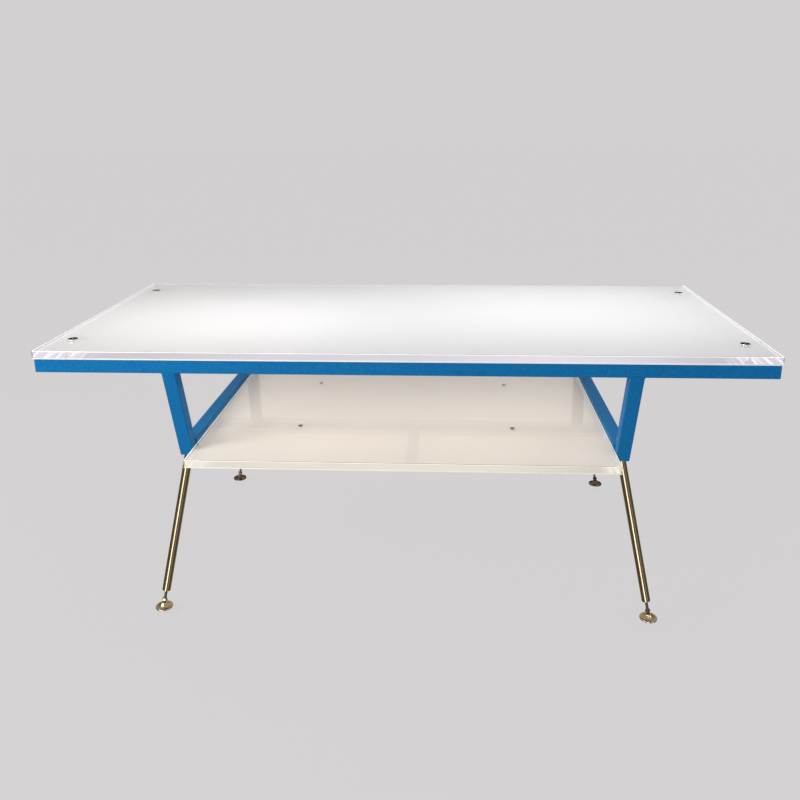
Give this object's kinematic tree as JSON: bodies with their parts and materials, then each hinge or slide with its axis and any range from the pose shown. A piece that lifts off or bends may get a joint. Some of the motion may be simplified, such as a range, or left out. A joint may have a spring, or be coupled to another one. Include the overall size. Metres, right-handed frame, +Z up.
{
  "type": "light table",
  "caption": "Light table with a thick clear-over-opal lit top, square-tube frame, acrylic shelf and splayed round legs on levelling feet.",
  "frame": {"origin": "on the floor, under the middle of the top", "axes": "+X along the table to the right as seen from the front, +Y from front to rear, +Z up"},
  "size_m": [2, 0.934, 0.8],
  "materials": {
    "clear_acrylic": "clear polished acrylic",
    "opal_acrylic": "opal white, lit from behind",
    "cream_opal_acrylic": "cream opal, satin",
    "dark_steel": "darkened steel",
    "blue_powder_coat": "satin blue powder coat",
    "white_sheet": "white painted sheet",
    "aluminium": "satin extruded aluminium",
    "black_plastic": "fine moulded black",
    "bronze_steel": "bronze-toned brushed steel, polished"
  },
  "bodies": {
    "frame": {"top_clear_panel": "clear_acrylic", "top_opal_sheet": "opal_acrylic", "cap_screw_front_left": "dark_steel", "cap_screw_front_right": "dark_steel", "cap_screw_rear_left": "dark_steel", "cap_screw_rear_right": "dark_steel", "top_rail_front": "blue_powder_coat", "top_rail_rear": "blue_powder_coat", "top_rail_left": "blue_powder_coat", "top_rail_right": "blue_powder_coat", "centre_beam": "blue_powder_coat", "mounting_tab_front_left": "blue_powder_coat", "mounting_tab_front_right": "blue_powder_coat", "mounting_tab_rear_left": "blue_powder_coat", "mounting_tab_rear_right": "blue_powder_coat", "light_guide_left": "clear_acrylic", "reflector_tray_left": "white_sheet", "led_bar_left_front": "aluminium", "led_bar_left_rear": "aluminium", "light_guide_right": "clear_acrylic", "reflector_tray_right": "white_sheet", "led_bar_right_front": "aluminium", "led_bar_right_rear": "aluminium", "led_driver": "aluminium", "power_inlet": "black_plastic", "strut_front_left": "blue_powder_coat", "strut_front_right": "blue_powder_coat", "strut_rear_left": "blue_powder_coat", "strut_rear_right": "blue_powder_coat", "side_rail_left": "blue_powder_coat", "side_rail_right": "blue_powder_coat", "shelf_bar_front": "blue_powder_coat", "shelf_bar_rear": "blue_powder_coat", "shelf_clear_panel": "clear_acrylic", "shelf_opal_sheet": "cream_opal_acrylic", "shelf_screw_front_left": "dark_steel", "shelf_screw_front_right": "dark_steel", "shelf_screw_rear_left": "dark_steel", "shelf_screw_rear_right": "dark_steel", "leg_tube_front_left": "bronze_steel", "leg_tube_front_right": "bronze_steel", "leg_tube_rear_left": "bronze_steel", "leg_tube_rear_right": "bronze_steel", "leg_insert_front_left": "dark_steel", "leg_insert_front_right": "dark_steel", "leg_insert_rear_left": "dark_steel", "leg_insert_rear_right": "dark_steel"},
    "switch_rocker": {"switch_rocker": "black_plastic"},
    "foot_stem_front_left": {"foot_stem_front_left": "dark_steel"},
    "foot_pad_front_left": {"foot_pad_front_left": "bronze_steel"},
    "foot_stem_front_right": {"foot_stem_front_right": "dark_steel"},
    "foot_pad_front_right": {"foot_pad_front_right": "bronze_steel"},
    "foot_stem_rear_left": {"foot_stem_rear_left": "dark_steel"},
    "foot_pad_rear_left": {"foot_pad_rear_left": "bronze_steel"},
    "foot_stem_rear_right": {"foot_stem_rear_right": "dark_steel"},
    "foot_pad_rear_right": {"foot_pad_rear_right": "bronze_steel"}
  },
  "joints": [
    {"name": "foot_adjust_front_left", "type": "slide", "parent": "frame", "child": "foot_stem_front_left", "axis": [-0.1966, -0.1205, -0.9731], "range_m": [-0.015, 0.02]},
    {"name": "foot_swivel_front_left", "type": "hinge", "parent": "foot_stem_front_left", "child": "foot_pad_front_left", "pos_m": [-0.711, -0.42, 0.012], "axis": [-0.5226, 0.8526, 0], "range_deg": [-12, 12]},
    {"name": "foot_adjust_front_right", "type": "slide", "parent": "frame", "child": "foot_stem_front_right", "axis": [0.1966, -0.1205, -0.9731], "range_m": [-0.015, 0.02]},
    {"name": "foot_swivel_front_right", "type": "hinge", "parent": "foot_stem_front_right", "child": "foot_pad_front_right", "pos_m": [0.711, -0.42, 0.012], "axis": [-0.5226, -0.8526, 0], "range_deg": [-12, 12]},
    {"name": "foot_adjust_rear_left", "type": "slide", "parent": "frame", "child": "foot_stem_rear_left", "axis": [-0.1966, 0.1205, -0.9731], "range_m": [-0.015, 0.02]},
    {"name": "foot_swivel_rear_left", "type": "hinge", "parent": "foot_stem_rear_left", "child": "foot_pad_rear_left", "pos_m": [-0.711, 0.42, 0.012], "axis": [0.5226, 0.8526, 0], "range_deg": [-12, 12]},
    {"name": "foot_adjust_rear_right", "type": "slide", "parent": "frame", "child": "foot_stem_rear_right", "axis": [0.1966, 0.1205, -0.9731], "range_m": [-0.015, 0.02]},
    {"name": "foot_swivel_rear_right", "type": "hinge", "parent": "foot_stem_rear_right", "child": "foot_pad_rear_right", "pos_m": [0.711, 0.42, 0.012], "axis": [0.5226, -0.8526, 0], "range_deg": [-12, 12]},
    {"name": "switch_rock", "type": "hinge", "parent": "frame", "child": "switch_rocker", "pos_m": [-0.685, 0.4409, 0.7574], "axis": [-1, 0, 0], "range_deg": [0, 20]}
  ]
}
